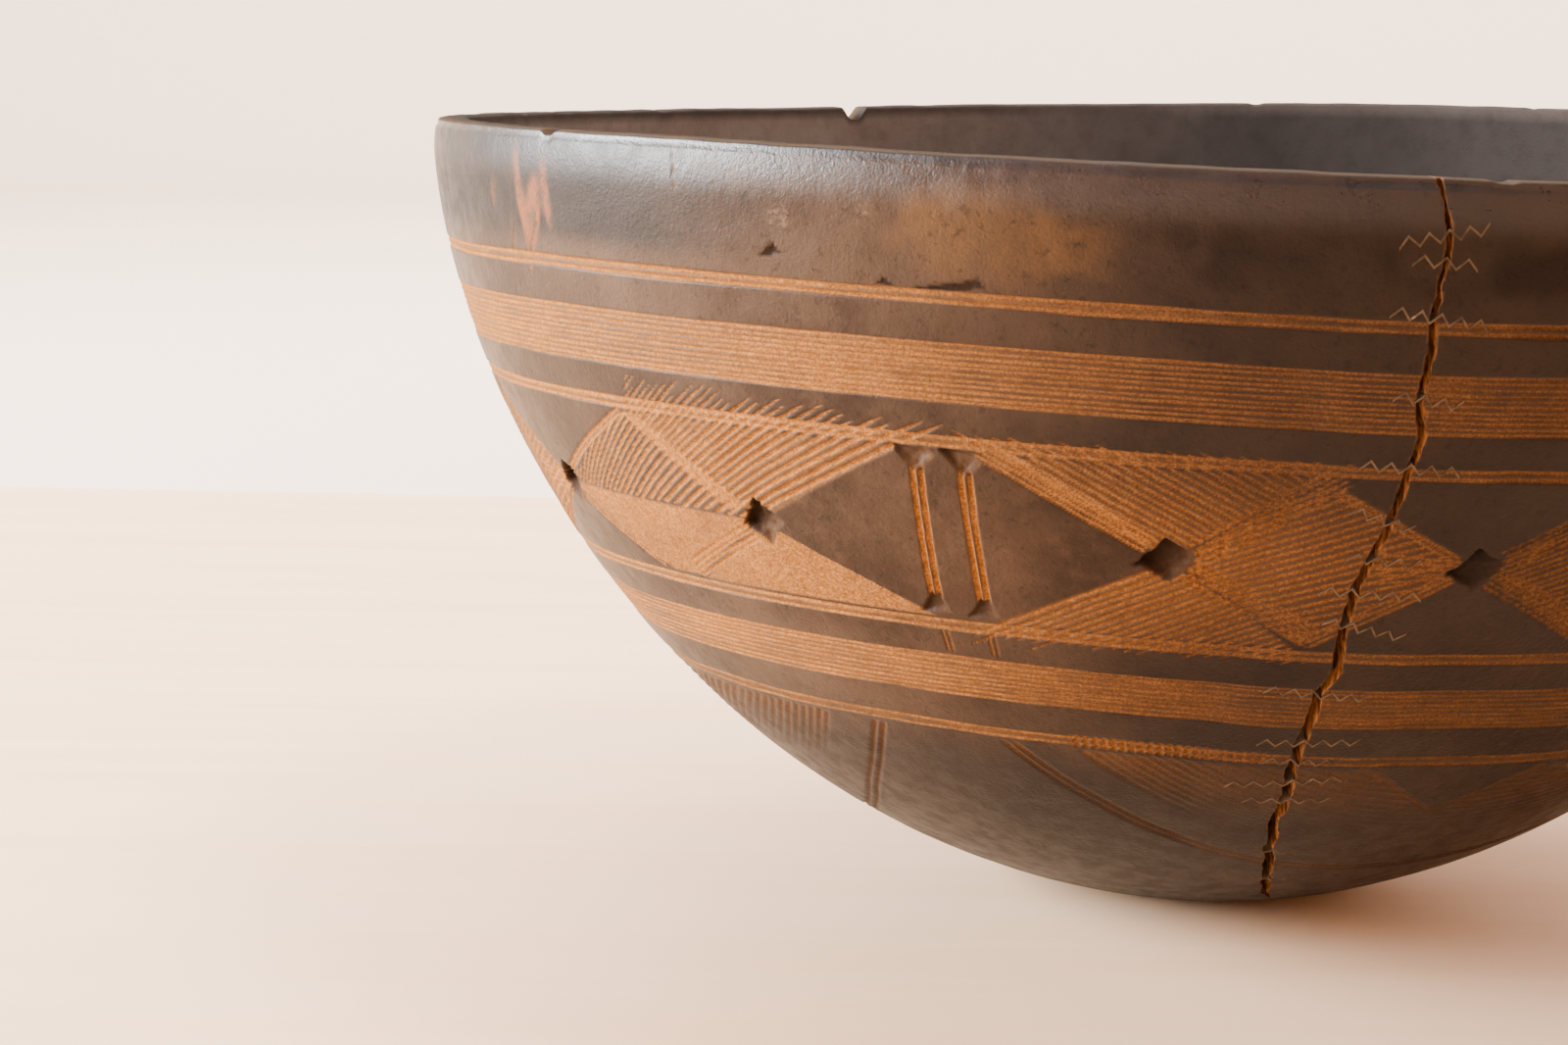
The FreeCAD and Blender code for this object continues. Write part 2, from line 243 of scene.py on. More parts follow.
class Skin:
    """Bearing, pattern height, smooth position and outward normal of every vertex of the outside."""

    def __init__(self, heights, bearings):
        self.height, self.bearing = np.meshgrid(heights, bearings, indexing="ij")
        turn = np.radians(self.bearing)
        level = np.clip(self.height + wander(self.bearing, self.height), 0, None)
        radius = outer_radius(level) - shoulder(self.height)
        slope = wall_slope(level)
        self.place = np.stack([radius * np.sin(turn), -radius * np.cos(turn), level], -1)
        self.stretch = np.hypot(1, slope)  # millimetres along the wall per millimetre of height
        self.per_degree = np.radians(radius)  # millimetres along the wall per degree
        self.normal = np.stack([np.sin(turn), -np.cos(turn), -slope], -1) / self.stretch[..., None]
        self.depth = np.zeros_like(self.bearing)  # how deep the knife went
        self.fresh = np.zeros_like(self.bearing)  # 0 dark skin, 1 bare wood
        self.soot_and_shade = np.zeros_like(self.bearing)  # soot and painted shade in the bottoms of pits and chips, and stains
        self.olive = np.zeros_like(self.bearing)  # lighter patches of the dark skin
        self.ruddy = np.zeros_like(self.bearing)  # scrapes that show red-brown wood
        self.worn = np.zeros_like(self.bearing)  # pale scuffs
        self.matt = np.zeros_like(self.bearing)  # dry wood, which only the rim's top and the hollow have
        later = 14 * np.exp(-((self.height - 112) / 14) ** 2)  # the painted shade on the right side starts further right at the frieze's middle
        # painted shade where the light falls off: the right side, the neck on the left, and the underside
        # below the rings
        painted_shade_right = smooth(-40, 2, self.bearing - later) * (1 - smooth(70, 110, self.bearing))
        painted_shade_neck = smooth(-88, -76, self.bearing) * (1 - smooth(-50, -30, self.bearing))
        painted_shade_neck *= 1.1 * smooth(169, 176, self.height)
        below = 1 - smooth(48, 72, self.height)
        self.aged = np.maximum(np.maximum(painted_shade_right, painted_shade_neck), below)  # painted shade, which darkens these parts under any light
        self.polish = smooth(185, 194, self.height) * (1 - 0.5 * painted_shade_neck)  # rubbed by hands

    def window(self, low, high, left=FIRST_BEARING, right=LAST_BEARING):
        """Index of the rows and columns between two heights and two bearings."""
        rows = np.flatnonzero((self.height[:, 0] >= low) & (self.height[:, 0] <= high))
        cols = np.flatnonzero((self.bearing[0] >= left) & (self.bearing[0] <= right))
        if not len(rows) or not len(cols):
            return None
        return np.s_[rows[0]:rows[-1] + 1, cols[0]:cols[-1] + 1]

    def window_of(self, places, spare=1.0):
        """Index of the rows and columns that these places span, with some to spare."""
        bearings, heights = zip(*places)
        return self.window(min(heights) - spare, max(heights) + spare,
                           min(bearings) - spare, max(bearings) + spare)

    def cut(self, where, depth, fresh, soot_and_shade=0.0):
        self.depth[where] = np.maximum(self.depth[where], depth)
        self.fresh[where] = np.maximum(self.fresh[where], fresh)
        if np.any(soot_and_shade):
            self.soot_and_shade[where] = np.maximum(self.soot_and_shade[where], soot_and_shade)


def groove(distance, width, depth):
    """Depth of a rounded V groove at a distance from its middle line."""
    return depth * np.clip(1 - (np.abs(distance) / (width / 2)) ** 1.6, 0, 1)


def ring(skin, height, width, depth, seed):
    """One ring groove, as steady as a hand can hold it."""
    where = skin.window(height - 2.5, height + 2.5)
    around = np.stack([skin.place[where][..., 0], skin.place[where][..., 1], 0 * skin.height[where]], -1)
    stray = 0.2 * noise(around, 38, seed) + 0.05 * noise(around, 12, seed + 1)
    pressed = 1 + 0.35 * noise(around, 22, seed + 2) + 0.15 * noise(around, 5, seed + 3)
    distance = (skin.height[where] - height - stray) * skin.stretch[where]
    cut = groove(distance, width * (0.85 + 0.15 * pressed), depth * pressed)
    skin.cut(where, cut, smooth(0.1, 0.34, cut))


def carve_rings(skin):
    seed = 100
    for height in DOUBLE_RINGS:
        bare_band(skin, height, DOUBLE_RING_PITCH * 1.25, 0.4, seed)
        for side in (-0.5, 0.5):
            ring(skin, height + side * DOUBLE_RING_PITCH, DOUBLE_RING_WIDTH, 0.6, seed)
            seed += 10
    for middle, count in WIDE_BANDS:
        bare_band(skin, middle, (count - 1) * BAND_RING_PITCH, 0.42, seed)
        for index in range(count):
            ring(skin, middle + (index - (count - 1) / 2) * BAND_RING_PITCH, RING_WIDTH, 0.5, seed)
            seed += 10
    where = skin.window(BEADED_RING - 2.2, BEADED_RING + 2.2, BEADS_FROM, BEADS_TO)
    pitch = 0.85  # degrees
    upright = groove((skin.bearing[where] / pitch % 1 - 0.5) * 2, 1.6, 0.75)
    fade = smooth(0, 0.8, 2.0 - np.abs(skin.height[where] - BEADED_RING))
    skin.cut(where, upright * fade, smooth(0.05, 0.4, upright) * fade)


def bare_band(skin, middle, width, fresh, seed):
    """A belt of wood rubbed half bare between grooves."""
    where = skin.window(middle - width, middle + width)
    inside = smooth(0, 0.6, width / 2 + 0.2 - np.abs(skin.height[where] - middle))
    place = skin.place[where]
    patchy = fresh + 0.25 * noise(place, 14, seed + 7) + 0.15 * noise(place, 3, seed + 8)
    skin.cut(where, 0.15 * inside, np.clip(patchy, 0, 1) * inside)


def edge_distance(skin, where, corners):
    """Millimetres inside a convex outline of (bearing, height) corners; negative outside."""
    bearing, height = skin.bearing[where], skin.height[where]
    wide, tall = skin.per_degree[where], skin.stretch[where]
    middle = np.mean(corners, axis=0)
    inside = np.full(bearing.shape, 1e3)
    for (b0, h0), (b1, h1) in zip(corners, corners[1:] + corners[:1]):
        along, up = (b1 - b0) * wide, (h1 - h0) * tall
        gap = ((bearing - b0) * wide * up - (height - h0) * tall * along) / np.hypot(along, up)
        facing = (middle[0] - b0) * (h1 - h0) - (middle[1] - h0) * (b1 - b0)
        inside = np.minimum(inside, gap * math.copysign(1, facing))
    return inside


def moved(place, right, up):
    """The place so many degrees to the right and millimetres up."""
    return place[0] + right, place[1] + up


def stretched(corners, apex, share):
    """The outline enlarged away from one of its corners."""
    return [(apex[0] + (b - apex[0]) * share, apex[1] + (h - apex[1]) * share) for b, h in corners]


def hatch(skin, corners, slope, pitch, seed, depth=0.45, share=0.72, fresh=1.0, past=None,
          fan_from=None):
    """Strokes across an outline, at a pitch measured across them. slope is height per degree.

    past is (height, most): strokes run on beyond that height by up to so much, and taper off.
    fan_from is the place that the strokes spread from; without it they are parallel.
    """
    where = skin.window_of(corners)
    if where is None:
        return
    bearing, height = skin.bearing[where], skin.height[where]
    first, last = min(b for b, _ in corners), max(b for b, _ in corners)
    middle = np.mean(corners, axis=0)
    row = np.searchsorted(skin.height[:, 0], middle[1])
    tall, wide = skin.stretch[row, 0], skin.per_degree[row, 0]
    steep = math.hypot(1, slope * tall / wide)
    if fan_from is None:
        across = (height - slope * (bearing - middle[0])) * tall / steep
    else:
        turn = (height - fan_from[1]) / (bearing - fan_from[0])
        across = turn * (middle[0] - fan_from[0]) * tall / steep
    across = across + 0.18 * noise(skin.place[where], 14, seed + 5)
    stroke = np.floor(across / pitch)
    random = np.random.RandomState(seed).rand(4, 512)
    pick = stroke.astype(int) % 512
    off_middle = across - (stroke + 0.5 + 0.12 * (random[0, pick] - 0.5)) * pitch
    inside = edge_distance(skin, where, corners) + 0.9 * random[2, pick] - 0.6
    taper, thin = 1.0, 1.0
    if past is not None:
        beyond = (height - past[0]) * math.copysign(1, past[0] - middle[1])
        run = (bearing - first) / (last - first)
        reach = past[1] * (1 - 0.65 * run) * (0.35 + 0.65 * random[1, pick])
        taper = 1 - smooth(0, 1, beyond / reach)
        thin = 1 - 0.35 * smooth(-0.3, 0.6, beyond)
    width = pitch * share * thin * (0.85 + 0.3 * random[3, pick]) * (0.35 + 0.65 * taper)
    wobble = 1 + 0.25 * noise(skin.place[where], 4, seed + 6)
    cut = groove(off_middle, width, depth * wobble * (0.75 + 0.5 * random[1, pick]) * (0.5 + 0.5 * taper))
    cut = cut * smooth(0, 0.9, inside) * smooth(0, 0.1, taper)
    skin.cut(where, cut, smooth(0.08, 0.3, cut) * fresh)


def stipple(skin, corners, seed, depth=0.3, fresh=0.85):
    """Ground taken down all over with the point of a knife."""
    where = skin.window_of(corners)
    if where is None:
        return
    inside = smooth(0, 0.8, edge_distance(skin, where, corners))
    rough = 0.6 + 0.4 * noise(skin.place[where], 1.3, seed)
    patchy = 0.85 + 0.15 * noise(skin.place[where], 8, seed + 1)
    skin.cut(where, depth * rough * inside, inside * fresh * patchy)


def line(skin, start, end, width, depth, seed, fresh=1.0, beads=0.0):
    """One straight stroke between two places; beads make it a row of dips."""
    (b0, h0), (b1, h1) = start, end
    where = skin.window_of([start, end], 1.5)
    if where is None:
        return
    wide, tall = skin.per_degree[where], skin.stretch[where]
    x, y = (skin.bearing[where] - b0) * wide, (skin.height[where] - h0) * tall
    along, up = (b1 - b0) * wide, (h1 - h0) * tall
    length = np.hypot(along, up)
    travel = (x * along + y * up) / length
    distance = (x * up - y * along) / length + 0.07 * noise(skin.place[where], 12, seed)
    ends = smooth(-0.4, 1.2, travel) * smooth(-0.4, 1.2, length - travel)
    pressed = 1 + 0.12 * noise(skin.place[where], 4, seed + 1)
    pressed = pressed + beads * np.sin(travel * 2 * math.pi / BEAD_LENGTH)
    cut = groove(distance, width * (0.85 + 0.15 * pressed), depth * pressed) * ends
    skin.cut(where, cut, smooth(0.09, 0.34, cut) * fresh)


def bundle(skin, start, end, count, seed, pitch=1.4, width=1.2, depth=0.55, beads=0.0):
    """Parallel strokes side by side from one place to another, each to the left of the one before."""
    (b0, h0), (b1, h1) = start, end
    per_degree, per_height = FRIEZE_SCALE
    along, up = (b1 - b0) * per_degree, (h1 - h0) * per_height
    length = math.hypot(along, up)
    for index in range(count):
        shift = index * pitch
        move = (-up / length * shift / per_degree, along / length * shift / per_height)
        line(skin, moved(start, *move), moved(end, *move), width, depth, seed + 7 * index,
             beads=beads * (-1) ** index)


def chip(skin, corners, depth, seed, soot_and_shade=0.55, wall=0.9, rise=0.65, lit=0.75, ragged=0.3):
    """A chip levered out: steep on its upper left, its floor rising towards the lower right. Its floor has
    painted shade, darkest on the upper left, and painted light as paler wood on the lower right.
    """
    where = skin.window_of(corners)
    if where is None:
        return
    per_degree, per_height = FRIEZE_SCALE

    def lower_right(bearing, height):
        """Millimetres towards the lower right."""
        return bearing * per_degree * 0.8 - height * per_height * 0.6

    place = skin.place[where]
    inside = edge_distance(skin, where, corners) + ragged * noise(place, 2.2, seed)
    reach = [lower_right(*corner) for corner in corners]
    here = lower_right(skin.bearing[where], skin.height[where])
    share = np.clip((here - min(reach)) / (max(reach) - min(reach)), 0, 1)
    facets = 0.2 * depth * noise(place, 2.6, seed + 1) + 0.08 * depth * noise(place, 1.1, seed + 2)
    floor = depth * (1 - rise * share) + facets
    cut = np.clip(floor, 0.1, None) * np.clip(inside / (wall + 1.2 * share), 0, 1)
    # painted shade in the chip, darkest on its upper left, and painted light as paler wood on its lit lower
    # right
    skin.cut(where, cut, 0.0, soot_and_shade * (1 - lit * share) * smooth(-0.1, 0.4, inside))
    skin.fresh[where] *= 1 - (1 - 0.3 * share) * smooth(-0.2, 0.3, inside)
    skin.fresh[where] = np.maximum(skin.fresh[where], 0.25 * lit * share * smooth(0, 0.5, inside))


def carve_plain_cell(skin, middle, seed):
    """A lozenge left dark, with two pairs of bars and a chip at both ends of each pair."""
    for side, lean in ((-1, 0.55), (1, 0.15)):
        centre = middle + 0.3 + side * 1.73
        for offset in (-0.31, 0.31):
            line(skin, (centre + offset - lean, 95.8), (centre + offset, 128.2), 1.6, 0.8,
                 seed + 5 * side + int(offset * 10))
            below = centre + 0.7 * offset - lean
            line(skin, (below, 82.5), (below, 88.5), 0.8, 0.35, seed + 40, 0.8)
        # chips at the bars' ends, with painted shade on the upper left and painted light on the lower right
        chip(skin, [(centre - 1.7, 132.9), (centre + 1.0, 132.9), (centre + 1.6, 131.0),
                    (centre + 0.3, 126.8), (centre - 0.3, 126.8)],
             2.1, seed + 20 + side, soot_and_shade=0.4, rise=0.9)
        foot = centre - lean
        chip(skin, [(foot - 1.6, 92.4), (foot - 0.4, 97.0), (foot + 0.4, 97.0), (foot + 1.2, 92.4)],
             1.5, seed + 30 + side, soot_and_shade=0.4, rise=0.85)


def carve_half_cell(skin, left, right, seed):
    """A lozenge with strokes above its middle and a stippled ground below it."""
    middle = (left[0] + right[0]) / 2
    top, bottom = (middle + 1.2, FRIEZE_TOP), (middle + 2.6, FRIEZE_BOTTOM)
    hatch(skin, [left, top, right], HATCH_RISE, HATCH_PITCH, seed, depth=0.5, share=0.7,
          fan_from=moved(right, *HALF_FAN))
    stipple(skin, [moved(left, 0, 0.5), moved(right, 0, 0.5), bottom, moved(bottom, -4, 0)], seed + 3)
    stipple(skin, [moved(top, -0.6, 0), moved(top, 1.6, 0), moved(right, -0.8, 3.5), moved(right, -3, 1.5)],
            seed + 4, depth=0.4, fresh=1.0)
    bundle(skin, bottom, moved(right, -0.9, -4.4), 4, seed + 70)
    bundle(skin, moved(left, 0.9, -3.6), moved(bottom, -5, 0.3), 2, seed + 30)
    bundle(skin, moved(left, 0.8, 2.2), moved(top, -0.2, -0.8), 2, seed + 50, pitch=1.2)


def carve_full_cell(skin, left, right, seed):
    """A lozenge with strokes all over and beaded bundles beside its left and right pits."""
    middle = (left[0] + right[0]) / 2
    top, bottom = (middle - 0.4, FRIEZE_TOP), (middle - 1.0, FRIEZE_BOTTOM)
    outline = [left, top, right, bottom]
    stipple(skin, outline, seed + 3, depth=0.15, fresh=0.34)
    hatch(skin, outline, 1.35, 1.85, seed, depth=0.55, share=0.62, fresh=0.95,
          fan_from=moved(left, *FULL_FAN))
    for step in range(5):
        line(skin, (right[0] - 8.5, right[1] - 4 + 2.0 * step),
             (right[0] - 1.2, right[1] - 1.8 + 0.9 * step), 1.1, 0.5, seed + step)
    foot = moved(bottom, 0.6, 0.2)
    bundle(skin, moved(left, 2.6, -0.2), moved(top, 1.4, -0.8), 5, seed + 10, width=1.1, beads=0.65)
    bundle(skin, moved(left, 0.9, -3.8), foot, 5, seed + 30, width=1.1, beads=0.65)
    bundle(skin, moved(right, -1.3, 2.6), moved(top, 0.6, -2.4), 2, seed + 50)
    bundle(skin, foot, moved(right, -1.3, -2.6), 3, seed + 70)


def carve_cell(skin, index, left, right):
    """One lozenge of the frieze, between its left and right pits, each a (bearing, height)."""
    seed = 1000 + 100 * index
    if index in PLAIN_CELLS:
        carve_plain_cell(skin, (left[0] + right[0]) / 2, seed)
    elif index in HALF_CELLS:
        carve_half_cell(skin, left, right, seed)
    else:
        carve_full_cell(skin, left, right, seed)


def carve_gaps(skin, index, before, node, after, plain_left, plain_right):
    """The triangles above and below a pit: hatched beside a plain lozenge, otherwise left dark."""
    if not (plain_left or plain_right):
        return
    seed = 4000 + 100 * index
    left_top = (before[0] + node[0]) / 2
    right_top = (node[0] + after[0]) / 2
    top, bottom = FRIEZE_TOP + 0.3, FRIEZE_BOTTOM - 0.3
    if plain_right:
        upper = [(left_top + 1.4, top), node, (right_top - 1.8, top)]
        longer = [upper[0], node, (upper[2][0] + 6, top + 9), (upper[0][0] + 1.5, top + 9)]
        stipple(skin, upper, seed + 2, depth=0.15, fresh=0.3)
        hatch(skin, longer, HATCH_RISE, HATCH_PITCH, seed, depth=0.6, share=0.68, past=(top + 3.0, 9.0),
              fan_from=moved(node, *HALF_FAN))
        lower = [(left_top + 3.0, bottom), node, (right_top - 2.0, bottom)]
        stipple(skin, lower, seed + 3, fresh=0.85)
        hatch(skin, [((left_top + right_top) / 2, bottom), moved(node, 1, 0), lower[2]],
              (bottom - node[1]) / (lower[2][0] - node[0]), 1.5, seed + 4, depth=0.4, share=0.6)
    else:
        upper = [(left_top + 2.6, top), node, (right_top - 0.4, top)]
        rise = (top - node[1]) / (upper[0][0] - node[0])
        stipple(skin, upper, seed + 2, depth=0.12, fresh=0.32)
        longer = stretched(upper, node, 1 + 5.5 / (top - node[1]))
        hatch(skin, longer, rise, HATCH_PITCH, seed, depth=0.5, share=0.6, fresh=0.9,
              past=(top + 3.0, 2.2))
        bundle(skin, moved(upper[0], 0.2, -0.6), moved(node, -1.6, 1.6), 4, seed + 40, width=1.15)
        lower = [(left_top + 2.2, bottom), node, (right_top - 1.2, bottom)]
        stipple(skin, lower, seed + 3, depth=0.12, fresh=0.42)
        longer = stretched(lower, node, 1 + 6.5 / (node[1] - bottom))
        hatch(skin, longer, (bottom - node[1]) / (lower[0][0] - node[0]), HATCH_PITCH, seed + 4,
              depth=0.55, share=0.66, past=(bottom - 2.6, 4.6))


def carve_frieze(skin):
    """All lozenges, gaps and pits; the list of pits is carried on past both ends of the unrolled skin."""
    count = len(FRIEZE_NODES)
    nodes = [moved(FRIEZE_NODES[k % count], 360 * (k // count), 0) for k in range(-2, count + 3)]
    for place in range(1, len(nodes) - 1):
        index = (place - 2) % count
        before, node, after = nodes[place - 1:place + 2]
        carve_gaps(skin, index, before, node, after, (index - 1) % count in PLAIN_CELLS,
                   index in PLAIN_CELLS)
        carve_cell(skin, index, node, after)
    for place, node in enumerate(nodes):
        # each pit gets painted shade on its upper left and painted light on its lower right
        chip(skin, [moved(node, -2.3, -1.3), moved(node, -0.2, 5.6), moved(node, 2.2, 1.3),
                    moved(node, 0.2, -5.3)], 3.3, 7000 + place, soot_and_shade=0.8, rise=0.8, lit=0.6, ragged=0.7)


def carve_underside(skin):
    """Three chords across the round bottom, each a double line with a hatched strip outside it."""
    where = skin.window(20, 70)
    place, bearing, height = skin.place[where], skin.bearing[where], skin.height[where]
    below_rings = smooth(0, 1.5, CHORDS_TOP - height)
    for middle, double_at, strip_from in CHORDS:
        turn = math.radians(middle)
        outward = place[..., 0] * math.sin(turn) - place[..., 1] * math.cos(turn)
        outward = outward + 0.5 * noise(place, 20, 61)
        for offset in (-1.0, 1.0):
            cut = groove(outward - double_at - offset, 1.5, 0.5) * below_rings
            skin.cut(where, cut, smooth(0.04, 0.3, cut) * 0.5)
        # the strip leaves out a V, whose sides are strokes of their own
        beside = edge_distance(skin, where, [(middle - 15, 62), (middle - 4, 45.5), (middle + 7, 62)])
        strip = smooth(0, 1.2, outward - strip_from) * smooth(0, 1.0, -beside) * below_rings
        strip *= (np.cos(np.radians(bearing - middle)) > 0) * smooth(36, 58, height)
        off_middle = (outward / STRIP_PITCH % 1 - 0.5) * STRIP_PITCH
        cut = groove(off_middle, 1.4, 0.45 * (1 + 0.3 * noise(place, 5, 62))) * strip
        skin.cut(where, cut, smooth(0.04, 0.3, cut) * 0.5)
        skin.cut(where, 0.1 * strip, strip * (0.2 + 0.1 * noise(place, 6, 63)))
        for end in (7, -15):
            line(skin, (middle - 4, 45.5), (middle + end, 59.5), 1.5, 0.4, 640, 0.6)


def nearness(skin, bearing, height, half_width, half_height):
    """1 in the middle of a patch, 0 at its edge, negative outside."""
    return 1 - np.hypot((skin.bearing - bearing) / half_width, (skin.height - height) / half_height)


def add_wear(skin):
    """Nicks, scratches, small cracks, rubbed patches and the unevenness of a hand-cut surface."""
    place = skin.place
    flat = 0.22 * (1 + layered_noise(place, 34, 11)) + 0.05 * (1 + noise(place, 5, 15))
    pores = 0.06 * smooth(0.3, 0.8, noise(place, 1.2, 17))
    split_bearings, split_heights = np.array(SPLIT[::-1], float).T
    off_split = (skin.bearing - np.interp(place[..., 2], split_heights, split_bearings)) * skin.per_degree
    by_split = np.exp(-(off_split / CALM_REACH) ** 8)
    skin.depth *= 1 - 0.75 * by_split
    skin.depth += (flat + pores) * (1 - by_split) * smooth(0, 6, skin.height)
    for corners, depth in NICKS:
        # the nicks are filled with painted shade
        chip(skin, corners, depth, 91, soot_and_shade=0.9, wall=0.4, rise=0.2, lit=0.2)
    for crack in CRACKS:
        line(skin, *crack)
    blotches = layered_noise(place, 13, 81)
    upright = place * np.array([1, 1, 0.3])
    for patch in OLIVE_PATCHES:
        near = nearness(skin, *patch) + 0.7 * blotches - 0.1
        skin.olive = np.maximum(skin.olive, smooth(-0.15, 0.75, near) * 0.85)
    for patch in RUDDY_PATCHES:
        near = nearness(skin, *patch) + 0.9 * noise(upright, 3.5, 83)
        skin.ruddy = np.maximum(skin.ruddy, smooth(0.2, 0.8, near))
    for patch in SCUFFS:
        near = nearness(skin, *patch) + 0.5 * noise(place, 6, 84)
        skin.worn = np.maximum(skin.worn, smooth(0.0, 1.0, near) * 0.38)
    for patch in STAINS:
        near = nearness(skin, *patch) + 0.9 * blotches
        skin.soot_and_shade = np.maximum(skin.soot_and_shade, smooth(0.1, 0.9, near) * 0.45)
    # less painted shade over the ruddy scrapes
    skin.aged *= 1 - 0.85 * skin.ruddy
    scratches = smooth(0.72, 0.86, noise(place * np.array([1, 1, 2.6]), 2.4, 85))
    skin.worn = np.maximum(skin.worn, 0.3 * (scratches * smooth(0, 0.6, blotches)))


def rim_dip(bearing):
    """How far the rim is worn or chipped below its line at each bearing."""
    turn = np.radians(bearing)
    around = np.stack([200 * np.cos(turn), 200 * np.sin(turn), 0 * bearing], -1)
    dip = 0.3 * (1 + noise(around, 60, 31)) + 0.12 * (1 + noise(around, 7, 32))
    dip += 0.5 * smooth(0.6, 0.9, noise(around, 9, 33))
    for middle, half, depth in RIM_CHIPS:
        dip += depth * (1 - smooth(0.3, 1.0, np.abs(bearing - middle) / half))
    return dip


def build_grid():
    """Vertices of the whole bowl in rows: from the foot, over the rim, down to the hollow's middle."""
    bearings = column_bearings()
    skin = Skin(row_heights(), bearings)
    carve_rings(skin)
    carve_frieze(skin)
    carve_underside(skin)
    add_wear(skin)
    outside = skin.place - skin.normal * skin.depth[..., None]
    outside[..., 2] = np.clip(outside[..., 2], 0, None)

    turn = np.radians(bearings)
    dip = rim_dip(bearings)
    wave = wander(bearings, HEIGHT)
    dip_reach = 14  # how far below the rim the outside follows its dips
    near_rim = np.clip(skin.height - (HEIGHT - dip_reach), 0, None) / dip_reach
    outside[..., 2] -= dip[None, :] * near_rim ** 2
    rows = [outside[i] for i in range(len(outside))]
    names = ("fresh", "soot_and_shade", "olive", "ruddy", "worn", "polish", "aged", "matt")
    layers = {name: list(getattr(skin, name)) for name in names}

    def add_row(radius, height, **amounts):
        lumps = np.stack([radius * np.sin(turn), -radius * np.cos(turn), height + 0 * turn], -1)
        rough = 0.12 * (1 + noise(lumps, 7, 41)) + 0.25 * (1 + noise(lumps, 30, 42))
        rows.append(np.stack([(radius - rough) * np.sin(turn), -(radius - rough) * np.cos(turn),
                              height + 0 * turn], -1))
        for name in names:
            layers[name].append(amounts.get(name, 0.0) + 0 * turn)

    around = np.stack([RIM_RADIUS * np.sin(turn), -RIM_RADIUS * np.cos(turn), 0 * turn], -1)
    middle_radius = RIM_RADIUS - (RIM_WALL + SHOULDER_DROP) / 2
    half_wall = (RIM_WALL - SHOULDER_DROP) / 2
    steps = max(8, int(22 / COARSER))
    for step in range(steps + 1):
        angle = math.pi * step / steps
        out = math.copysign(abs(math.cos(angle)) ** RIM_SQUARENESS, math.cos(angle)) * half_wall
        up = math.sin(angle) ** RIM_SQUARENESS * RIM_ROUNDING
        edge = smooth(0.35, 0.8, math.sin(angle)) * smooth(-0.5, 0.5, math.cos(angle))
        # the rim's top gets painted shade as well (0.8)
        add_row(middle_radius + out,
                HEIGHT - RIM_ROUNDING + up + wave - dip * (0.6 + 0.4 * math.sin(angle)),
                worn=edge * (0.7 + 0.2 * noise(around, 8, 43)),
                matt=1 - smooth(0.8, 1.0, math.cos(angle)),
                polish=smooth(0.9, 0.995, math.cos(angle)), aged=0.8)
    # painted shade on the right side of the hollow
    shaded_hollow = smooth(20, 80, bearings) * (1 - smooth(165, 215, bearings))
    inside = np.linspace(1, 0, max(30, int(110 / COARSER)), endpoint=False)[1:]
    for share in inside:
        height = FLOOR_THICKNESS + (HEIGHT - RIM_ROUNDING - FLOOR_THICKNESS) * share ** 1.8
        upper = np.clip((height - 150) / 50, 0, 1)
        level = height + (wave - 0.6 * dip) * upper ** 2
        add_row(inner_radius(np.array(height)) + 0 * turn, level, matt=1.0, aged=1.08 * shaded_hollow)
    return np.array(rows), {name: np.array(values) for name, values in layers.items()}


def mesh_from_grid(name, rows, layers):
    """Closed mesh from a grid whose columns go round and whose first and last rows close on a point."""
    count_rows, count_cols = rows.shape[:2]
    foot, hollow = rows[0].mean(0), rows[-1].mean(0)
    points = np.concatenate([rows.reshape(-1, 3), [foot, hollow]])
    row, col = np.meshgrid(np.arange(count_rows - 1), np.arange(count_cols), indexing="ij")
    after = (col + 1) % count_cols
    quads = np.stack([row * count_cols + col, row * count_cols + after,
                      (row + 1) * count_cols + after, (row + 1) * count_cols + col], -1).reshape(-1, 4)
    first = np.arange(count_cols)
    second = (first + 1) % count_cols
    last = (count_rows - 1) * count_cols
    foot_at, hollow_at = count_rows * count_cols, count_rows * count_cols + 1
    fans = np.concatenate([
        np.stack([np.full(count_cols, foot_at), second, first], -1),
        np.stack([np.full(count_cols, hollow_at), last + first, last + second], -1)])
    mesh = bpy.data.meshes.new(name)
    mesh.vertices.add(len(points))
    mesh.vertices.foreach_set("co", (points * METRES).astype(np.float32).ravel())
    corners = np.concatenate([quads.ravel(), fans.ravel()]).astype(np.int32)
    mesh.loops.add(len(corners))
    mesh.loops.foreach_set("vertex_index", corners)
    starts = np.concatenate([np.arange(len(quads)) * 4, len(quads) * 4 + np.arange(len(fans)) * 3])
    mesh.polygons.add(len(starts))
    mesh.polygons.foreach_set("loop_start", starts.astype(np.int32))
    mesh.update(calc_edges=True)
    for layer, values in layers.items():
        full = np.concatenate([values.ravel(), [0.0, 0.0]]).astype(np.float32)
        mesh.attributes.new(layer, "FLOAT", "POINT").data.foreach_set("value", full)
    mesh.validate()
    mesh.shade_smooth()
    thing = bpy.data.objects.new(name, mesh)
    bpy.context.scene.collection.objects.link(thing)
    return thing


